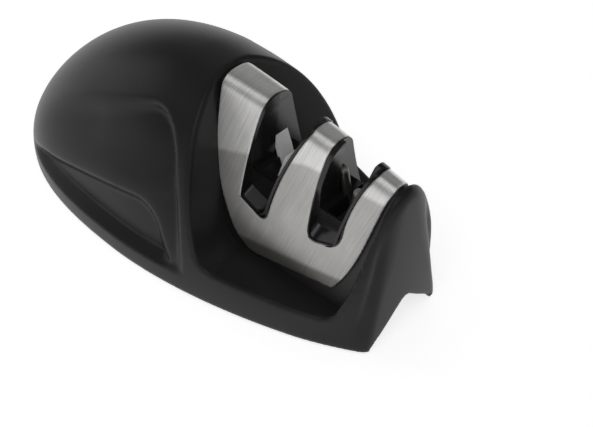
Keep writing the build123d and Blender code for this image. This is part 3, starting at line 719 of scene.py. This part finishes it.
def cover_rule(x, y, z):
    """The folded sheet."""
    skin = spine_rule(x, y, z)
    lower_edge = 11.3 + 0.1384 * (x - 28.3)
    side = both(cover_rear(z) - x, lower_edge - z, CORNER_REAR)
    side = both(side, (x - cover_front(z)) * 0.95, CORNER_FRONT)
    for slot in SLOTS.values():
        side = both(side, -slot_rule(slot, x, z), SLOT_EDGE)
    return both(both(skin, -(skin + SHEET), SHEET_EDGE), side, 0.3)


cell = 0.36
points, faces = mesh_of_rule(cover_rule, (9.0, -17.5, 9.5), (69.0, 17.5, 57.0), cell)
cover = link_mesh("folded_cover", points, faces)
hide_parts("steel_cover")
finish_with(cover, brushed_steel)
print("cover faces:", len(faces), "box", points.min(0).round(1), points.max(0).round(1))

# %% [markdown]
# Each slot has a glossy liner in two halves. The solids give its blocks,
# walls and notches. A few small closed shapes are added to them, and two
# of those follow a path round the edge of the slot: from the crest down
# the rear wall, along the floor and up the front wall.

# %% Path round a slot
def slope_of(rule, a, b, step=0.01):
    """Value and slope of a rule of two places."""
    value = float(rule(a, b))
    return value, np.array((float(rule(a + step, b)) - value,
                            float(rule(a, b + step)) - value)) / step


def spine_half(x, z):
    """Half width of the steel at a place seen from the side."""
    low, high = 0.0, 20.0
    for _ in range(24):
        middle = (low + high) / 2
        inside = spine_rule(np.array(x), np.array(middle), np.array(z)) < 0
        low, high = (middle, high) if inside else (low, middle)
    return low


def slot_path(slot, step=0.35):
    """Points round the edge of a slot, from the side."""
    def edge(x, z):
        return slot_rule(slot, x, z)

    rear = float(slot["rear"](60.0))
    point = np.array((rear, float(crest_height(np.array(rear))) - 0.05))
    path = [point]
    while len(path) < 500:
        slope = slope_of(edge, *point)[1]
        slope = slope / np.linalg.norm(slope)
        point = point + step * np.array((-slope[1], slope[0]))
        for _ in range(3):
            value, slope = slope_of(edge, *point)
            point = point - value * slope / (slope @ slope)
        if point[0] > slot["middle"] and point[1] > crest_height(point[0]) - 0.05:
            break
        path.append(point)
    return np.array(path)


def along_of(path):
    """Direction of a path at each of its points."""
    along = np.gradient(path, axis=0)
    return along / np.linalg.norm(along, axis=1)[:, None]


paths = {name: slot_path(slot) for name, slot in SLOTS.items()}
print("points round the slots:", {name: len(path) for name, path in paths.items()})

# %% [markdown]
# Three small shapes are added to each half. A thin lip follows the path,
# just inside the steel, and hides the cut edge of the sheet. A sill climbs
# from the floor of the slot to the block, and catches the light there. A
# wedge closes the V-shaped notch on the outer face of the block.

# %% Lip, sill and wedge
LIP, LIP_GAP, LAP, APEX = 0.35, 0.03, 0.06, 27.8


def tube(rings, turn, ends):
    """Faces round rings of four points, with both ends closed."""
    faces = [(4 * k + one, 4 * k + two, 4 * k + 4 + two, 4 * k + 4 + one)
             for k in range(rings - 1) for one, two in turn]
    return faces + [ends[0], tuple(4 * (rings - 1) + v for v in ends[1])]


def liner_lip(side, path):
    """Points and faces of the lip on one half."""
    along = along_of(path)
    points = []
    for place, (ahead, up_hill) in zip(path, along):
        into = np.array((-up_hill, ahead))
        for x, z in (place + LIP_GAP * into, place + LIP * into):
            wide = max(spine_half(x, z) - 0.05, 0.1)
            points += [(x, side * LAP, z), (x, side * wide, z)]
    return points, tube(len(path), ((0, 1), (1, 3), (3, 2), (2, 0)),
                        ((0, 2, 3, 1), (0, 1, 3, 2)))


def liner_sill(side, path, depth, rise):
    """Points and faces of the sill on one half."""
    floor = path[(along_of(path)[:, 0] > 0.25) & (path[:, 1] < path[:, 1].min() + 3.5)]
    inner, thick = depth - 0.4, 0.6
    points = []
    for x, z in floor:
        wide = spine_half(x, z) - 0.3
        for y, level in ((wide, z + 0.1), (inner, z + rise), (inner, z - thick),
                         (wide, z - thick)):
            points.append((x, side * y, level))
    return points, tube(len(floor), ((0, 1), (1, 2), (2, 3), (3, 0)),
                        ((3, 2, 1, 0), (0, 1, 2, 3)))


def block_face(side, depth, top, centre, angle):
    """Points and faces of the wedge on the outer face of a block."""
    tan = math.tan(math.radians(angle))
    low = APEX - 0.35 / math.cos(math.radians(angle)) / tan
    outline = [(centre, low), (centre + (top - low) * tan, top),
               (centre - (top - low) * tan, top)]
    points = [(x, side * y, z) for y in (depth - 0.6, depth) for x, z in outline]
    return points, [(0, 1, 2), (5, 4, 3), (0, 3, 4, 1), (1, 4, 5, 2), (2, 5, 3, 0)]


print("the sill of the coarse slot rises", SLOTS["coarse"]["rise"], "mm")

# %% [markdown]
# The rest of a liner is a copy of its solid. The mesh of a solid is loose
# triangles, so its corners are joined first. Corners that stand out of the
# steel too far, or past the edge of the slot, are drawn back onto it. A
# boolean cut would do the same, but it would leave slivers at the rim.

# %% Copies of solids
RIM_LIMIT, RIM, EDGE_GAP = 0.34, 0.32, 0.04


def merged_copy(name):
    """Points and faces of a solid, with its corners joined, in millimetres."""
    work = bmesh.new()
    work.from_mesh(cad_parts[name].data)
    bmesh.ops.remove_doubles(work, verts=work.verts, dist=1e-6)
    points = [tuple(v.co / MM) for v in work.verts]
    faces = [[v.index for v in f.verts] for f in work.faces]
    work.free()
    return points, faces


def trimmed(slot, x, y, z):
    """Keeps a corner of a liner inside the edge of its slot and close to the skin."""
    side, y = math.copysign(1.0, y), abs(y)
    for _ in range(8):
        value, slope = slope_of(lambda a, b: spine_rule(np.array(x), a, b), y, z)
        if value < RIM_LIMIT:
            break
        move = (value - RIM) / (slope @ slope) * slope
        y, z = max(y - move[0], 0.0), z - move[1]
    value, slope = slope_of(lambda a, b: slot_rule(slot, a, b), x, z)
    if z < 56.0 and value > -EDGE_GAP and spine_rule(x, y, z) > -1.0:
        x, z = np.array((x, z)) - (value + EDGE_GAP) / (slope @ slope) * slope
    return x, y * side, z


def tidy(piece, angle=30.0):
    """Turns the faces outward and keeps edges sharper than an angle crisp."""
    work = bmesh.new()
    work.from_mesh(piece.data)
    bmesh.ops.recalc_face_normals(work, faces=work.faces)
    work.to_mesh(piece.data)
    work.free()
    piece.data.set_sharp_from_angle(angle=math.radians(angle))


def bevel(piece, width, angle):
    """Breaks the edges that are sharper than an angle."""
    soft = piece.modifiers.new("broken edge", "BEVEL")
    soft.width, soft.segments, soft.limit_method = width * MM, 2, "ANGLE"
    soft.angle_limit = math.radians(angle)


def corners_of(name):
    """Corners of a solid, in millimetres."""
    return np.array([tuple(v.co / MM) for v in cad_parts[name].data.vertices])


print("corners of a liner:", len(merged_copy("coarse_liner_near")[0]))

# %% [markdown]
# Each half is its copy with the three small shapes, in one mesh. They may
# overlap, because each is a closed shell, and all are the same plastic.

# %% Slot liners
for slot_name, slot in SLOTS.items():
    path = paths[slot_name]
    for side_name, side in (("near", -1), ("far", 1)):
        name = f"{slot_name}_liner_{side_name}"
        points, faces = merged_copy(name)
        points = [trimmed(slot, *point) for point in points]
        for more_points, more_faces in (
                liner_lip(side, path), liner_sill(side, path, slot["depth"], slot["rise"]),
                block_face(side, slot["depth"], slot["top"], slot["centre"], slot["angle"])):
            faces += [[len(points) + v for v in face] for face in more_faces]
            points += more_points
        piece = link_mesh("moulded_" + name, points, faces)
        tidy(piece)
        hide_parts(name)
        finish_with(piece, liner_plastic)
        print(piece.name, "has", len(faces), "faces")

# %% [markdown]
# Screws repeat, so they come from a Geometry Nodes tree. Its input is one
# loose point for each screw. One screw is modelled at the origin: a round
# head with a cross cut into it, and a plain shank. It is instanced on the
# points, and each copy is turned by a random angle, because nobody stops
# turning four screws at the same angle. Copies made by hand would do too,
# but a tree keeps one place to change. The functions below start a tree,
# run it, and take care of the steps that both trees share.

# %% Tools for the trees
def new_tree(name, inputs):
    """A Geometry Nodes tree with named inputs. Gives the tree and its two end nodes."""
    made = bpy.data.node_groups.new(name, "GeometryNodeTree")
    made.interface.new_socket("Geometry", in_out="INPUT", socket_type="NodeSocketGeometry")
    for key, value in inputs.items():
        kind = {int: "Int", float: "Float"}.get(type(value), "Material")
        socket = made.interface.new_socket(key, in_out="INPUT", socket_type="NodeSocket" + kind)
        if value is not None:
            socket.default_value = value
    made.interface.new_socket("Geometry", in_out="OUTPUT", socket_type="NodeSocketGeometry")
    return made, made.nodes.new("NodeGroupInput").outputs, made.nodes.new("NodeGroupOutput").inputs


def grown(name, points, tree, **values):
    """Runs a tree on loose points, and keeps the result as a plain mesh."""
    piece = link_mesh(name, points, [])
    modifier = piece.modifiers.new("rule", "NODES")
    modifier.node_group = tree
    for item in tree.interface.items_tree:
        key = item.name.replace(" ", "_")
        if item.in_out == "INPUT" and key in values:
            modifier[item.identifier] = values[key]
    ready = piece.evaluated_get(bpy.context.evaluated_depsgraph_get())
    mesh = bpy.data.meshes.new_from_object(ready)
    piece.modifiers.clear()
    piece.data = mesh
    mesh.name = name
    return piece


def moved(tree, shape, x=0.0, y=0.0, z=0.0):
    """Moves a shape inside a tree."""
    way = node(tree, "ShaderNodeCombineXYZ", X=x, Y=y, Z=z)
    made = node(tree, "GeometryNodeTransform", Geometry=shape, Translation=way.outputs[0])
    return made.outputs[0]


def joined(tree, *shapes):
    """Joins shapes inside a tree."""
    made = tree.nodes.new("GeometryNodeJoinGeometry")
    for shape in shapes:
        tree.links.new(shape, made.inputs[0])
    return made.outputs[0]


def ended(tree, instances, material, result):
    """Ends a tree with Realize Instances and Set Material."""
    real = node(tree, "GeometryNodeRealizeInstances", Geometry=instances)
    painted = node(tree, "GeometryNodeSetMaterial", Geometry=real.outputs[0], Material=material)
    tree.links.new(painted.outputs[0], result["Geometry"])


print("tree tools ready")

# %% [markdown]
# The head is a short cylinder, cut by two crossed bars from the outside.
# All sizes are inputs of the tree, so one tree serves four sets of screws.

# %% Screw tree
screw_tree, given, result = new_tree("screw_set", {
    "Head Radius": 0.0021, "Head Height": 0.0015, "Shank Radius": 0.0011,
    "Shank Length": 0.005, "Flip": 0.0, "Seed": 7, "Finish": None})
head = node(screw_tree, "GeometryNodeMeshCylinder", Vertices=48, Radius=given["Head Radius"],
            Depth=given["Head Height"])
arm = math_node(screw_tree, "MULTIPLY", given["Head Radius"], 1.15)
thin = math_node(screw_tree, "MULTIPLY", given["Head Radius"], 0.26)
deep = math_node(screw_tree, "MULTIPLY", given["Head Height"], 0.9)
drop = math_node(screw_tree, "MULTIPLY", given["Head Height"], -0.5)
cross = []
for wide, tall in ((arm, thin), (thin, arm)):
    size = node(screw_tree, "ShaderNodeCombineXYZ", X=wide, Y=tall, Z=deep)
    bar = node(screw_tree, "GeometryNodeMeshCube", Size=size.outputs[0])
    cross.append(moved(screw_tree, bar.outputs["Mesh"], z=drop))
cut = node(screw_tree, "GeometryNodeMeshBoolean", operation="DIFFERENCE", solver="EXACT")
screw_tree.links.new(head.outputs["Mesh"], cut.inputs[0])
for bar in cross:
    screw_tree.links.new(bar, cut.inputs[1])
seated = moved(screw_tree, cut.outputs[0],
               z=math_node(screw_tree, "MULTIPLY", given["Head Height"], 0.5))
shank = node(screw_tree, "GeometryNodeMeshCylinder", Vertices=32, Radius=given["Shank Radius"],
             Depth=given["Shank Length"])
raised = math_node(screw_tree, "ADD", given["Head Height"],
                   math_node(screw_tree, "MULTIPLY", given["Shank Length"], 0.5))
raised = math_node(screw_tree, "SUBTRACT", raised, 0.00005)
screw = joined(screw_tree, seated, moved(screw_tree, shank.outputs["Mesh"], z=raised))
chance = node(screw_tree, "FunctionNodeRandomValue", data_type="FLOAT", Seed=given["Seed"])
chance.inputs[3].default_value = math.pi
turned = node(screw_tree, "ShaderNodeCombineXYZ", X=given["Flip"], Y=0.0, Z=chance.outputs[1])
placed = node(screw_tree, "GeometryNodeInstanceOnPoints", Points=given["Geometry"],
              Instance=screw, Rotation=turned.outputs[0])
ended(screw_tree, placed.outputs[0], given["Finish"], result)
print("screw tree has", len(screw_tree.nodes), "nodes")

# %% [markdown]
# The solids say where the screws are. Each set is read from its node:
# corners in the same quarter belong to one screw, the widest ones are its
# head, and that tells which end is up. Each screw keeps its own height,
# because the front pair of the core sits lower than the rear pair. The
# heads get a small bevel, as turned heads have.

# %% Screws in their places
HEAD_HEIGHT, SHANK_RADIUS = 1.5, 1.1


def spots_of(name, split):
    """Middle, lower and upper end, radius, and head up or not, of each screw of a solid."""
    corners, spots = corners_of(name), []
    for front in (False, True):
        for far in (False, True):
            own = corners[((corners[:, 0] > split) == front) & ((corners[:, 1] > 0) == far)]
            if len(own):
                low, high = own.min(0), own.max(0)
                middle = (low + high) / 2
                out = np.hypot(own[:, 0] - middle[0], own[:, 1] - middle[1])
                rim = own[out > out.max() - 0.2]
                spots.append((middle, low[2], high[2], out.max(),
                              bool(rim[:, 2].mean() > middle[2])))
    return spots


screw_counts = {}
for name, split in (("base_screws", 0.0), ("core_screws", 42.0),
                    ("coarse_clamp_screws", -99.0), ("fine_clamp_screws", -99.0)):
    spots = spots_of(name, split)
    _, bottom, top, radius, head_up = spots[0]
    points = [(middle[0], middle[1], high if head_up else low)
              for middle, low, high, *_ in spots]
    piece = grown("turned_" + name, points, screw_tree, Head_Radius=radius * MM,
                  Head_Height=HEAD_HEIGHT * MM, Shank_Radius=SHANK_RADIUS * MM,
                  Shank_Length=(top - bottom - HEAD_HEIGHT) * MM,
                  Flip=math.pi if head_up else 0.0, Seed=7, Finish=screw_steel)
    tidy(piece)
    bevel(piece, 0.1, 50.0)
    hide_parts(name)
    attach(piece, "root")
    screw_counts[name] = len(points)
print("screws:", screw_counts)

# %% [markdown]
# A foot is a rubber pad with two rings of studs below it, which grip a
# worktop better than a flat pad. The studs are one cylinder, instanced on
# the corners of two circles, and the foot is instanced on one point.

# %% Foot tree
foot_tree, given, result = new_tree("stud_foot", {
    "Radius": 0.006, "Height": 0.002, "Stud Height": 0.0004, "Stud Radius": 0.0005,
    "Outer Studs": 16, "Inner Studs": 9, "Finish": None})
body = math_node(foot_tree, "SUBTRACT", given["Height"], given["Stud Height"])
pad = node(foot_tree, "GeometryNodeMeshCylinder", Vertices=72, Radius=given["Radius"], Depth=body)
centre = math_node(foot_tree, "ADD", given["Stud Height"],
                   math_node(foot_tree, "MULTIPLY", body, 0.5))
parts = [moved(foot_tree, pad.outputs["Mesh"], z=centre)]
tall = math_node(foot_tree, "MULTIPLY", given["Stud Height"], 1.5)
stud = node(foot_tree, "GeometryNodeMeshCylinder", Vertices=16, Radius=given["Stud Radius"],
            Depth=tall)
for share, count in ((0.78, "Outer Studs"), (0.42, "Inner Studs")):
    ring = node(foot_tree, "GeometryNodeMeshCircle", Vertices=given[count],
                Radius=math_node(foot_tree, "MULTIPLY", given["Radius"], share))
    studs = node(foot_tree, "GeometryNodeInstanceOnPoints", Points=ring.outputs["Mesh"],
                 Instance=stud.outputs["Mesh"])
    parts.append(moved(foot_tree, studs.outputs[0],
                       z=math_node(foot_tree, "MULTIPLY", tall, 0.5)))
one_foot = joined(foot_tree, *parts)
placed = node(foot_tree, "GeometryNodeInstanceOnPoints", Points=given["Geometry"],
              Instance=one_foot)
ended(foot_tree, placed.outputs[0], given["Finish"], result)
print("foot tree has", len(foot_tree.nodes), "nodes")

# %% [markdown]
# Place and size of each foot are read from its node, as for the screws.

# %% Feet in their places
for name in ("rear_near_foot", "rear_far_foot", "front_near_foot", "front_far_foot"):
    low, high = corners_of(name).min(0), corners_of(name).max(0)
    middle = (low + high) / 2
    piece = grown("moulded_" + name, [(middle[0], middle[1], low[2])], foot_tree,
                  Radius=(high[0] - low[0]) / 2 * MM, Height=(high[2] - low[2]) * MM,
                  Stud_Height=0.4 * MM, Stud_Radius=0.5 * MM, Outer_Studs=16, Inner_Studs=9,
                  Finish=foot_rubber)
    tidy(piece)
    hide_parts(name)
    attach(piece, "root")
print("feet: last one", len(piece.data.polygons), "faces, height", (high - low)[2].round(2))

# %% [markdown]
# Stamped straps, ground plates and the moulded base have slightly broken
# edges, because a sharp edge would chip or cut. They are copies of the
# solids with a narrow bevel. The rods and the core come straight from the
# solids.

# %% Softened pieces, and the ones that come straight from the solids
softened = {
    "base_plate": (base_plastic, 0.25), "coarse_clamp": (strap_steel, 0.12),
    "fine_clamp": (strap_steel, 0.12), "coarse_plate_near": (carbide, 0.06),
    "coarse_plate_far": (carbide, 0.06),
}
for name, (material, width) in softened.items():
    piece = link_mesh("softened_" + name, *merged_copy(name))
    tidy(piece)
    bevel(piece, width, 40.0)
    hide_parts(name)
    finish_with(piece, material)
for name, material in (("spine_core", core_plastic), ("fine_rod_near", ceramic),
                       ("fine_rod_far", ceramic)):
    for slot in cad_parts[name].material_slots:
        slot.material = material
print("softened:", len(softened))

# %% [markdown]
# The photograph stands on white, with hardly a shadow. The floor is a
# pale sheet that glows a little for the camera and in reflections, so that
# it is white without more light on the object, and it still takes the
# shadow. Its light also comes back from the flanks of the steel.

# %% Floor
floor_points = [(-3000, -3000, 0), (3000, -3000, 0), (3000, 3000, 0), (-3000, 3000, 0)]
floor = link_mesh("floor", floor_points, [(0, 1, 2, 3)], smooth=False)
floor_material, tree, shader, where = new_material("pale_floor", Roughness=0.8)
shader.inputs["Base Color"].default_value = (0.82, 0.82, 0.82, 1.0)
shader.inputs["Specular IOR Level"].default_value = 0.0
shader.inputs["Emission Color"].default_value = (1.0, 1.0, 1.0, 1.0)
path = tree.nodes.new("ShaderNodeLightPath")
seen = math_node(tree, "MAXIMUM", path.outputs["Is Camera Ray"], path.outputs["Is Glossy Ray"])
seen = math_node(tree, "MAXIMUM", seen, path.outputs["Is Transmission Ray"])
tree.links.new(math_node(tree, "MULTIPLY", seen, 0.74), shader.inputs["Emission Strength"])
floor.data.materials.append(floor_material)
print("floor on stage")

# %% [markdown]
# Three large soft lamps give the long, quiet highlights of a product
# picture. The sky is bright near the horizon and nearly dark overhead,
# like a studio with white walls and a black ceiling. That is what makes
# the crests dark and the flanks bright.

# %% Lamps and sky
def softbox(name, at, aim, size, power):
    """A square studio lamp that faces a point."""
    lamp = bpy.data.lights.new(name, "AREA")
    lamp.shape = "RECTANGLE"
    lamp.size, lamp.size_y = size[0] * MM, size[1] * MM
    lamp.energy = power
    holder = bpy.data.objects.new(name, lamp)
    spot, target = Vector(at) * MM, Vector(aim) * MM
    holder.matrix_world = (Matrix.Translation(spot)
                           @ (target - spot).to_track_quat("-Z", "Y").to_matrix().to_4x4())
    bpy.context.collection.objects.link(holder)
    return holder


softbox("key", (350, -450, 900), (0, 0, 20), (700, 700), 2.6)
softbox("left", (-750, -250, 450), (0, 0, 20), (500, 500), 0.85)
softbox("back", (-450, 480, 650), (0, 0, 20), (600, 600), 0.36)

world = bpy.data.worlds.new("studio")
bpy.context.scene.world = world
world.use_nodes = True
sky = world.node_tree
back = sky.nodes["Background"]
path = sky.nodes.new("ShaderNodeLightPath")
way = node(sky, "ShaderNodeSeparateXYZ", Vector=sky.nodes.new("ShaderNodeTexCoord").outputs[0])
fall = node(sky, "ShaderNodeMapRange", Value=way.outputs[2])
for key, value in (("From Min", 0.1), ("From Max", 0.4), ("To Min", 1.0), ("To Max", 0.06)):
    fall.inputs[key].default_value = value
strength = math_node(sky, "MAXIMUM", path.outputs["Is Camera Ray"], fall.outputs[0])
sky.links.new(strength, back.inputs["Strength"])
back.inputs["Color"].default_value = (1.0, 1.0, 1.0, 1.0)
bpy.context.scene.view_settings.view_transform = "Standard"
print("studio ready")
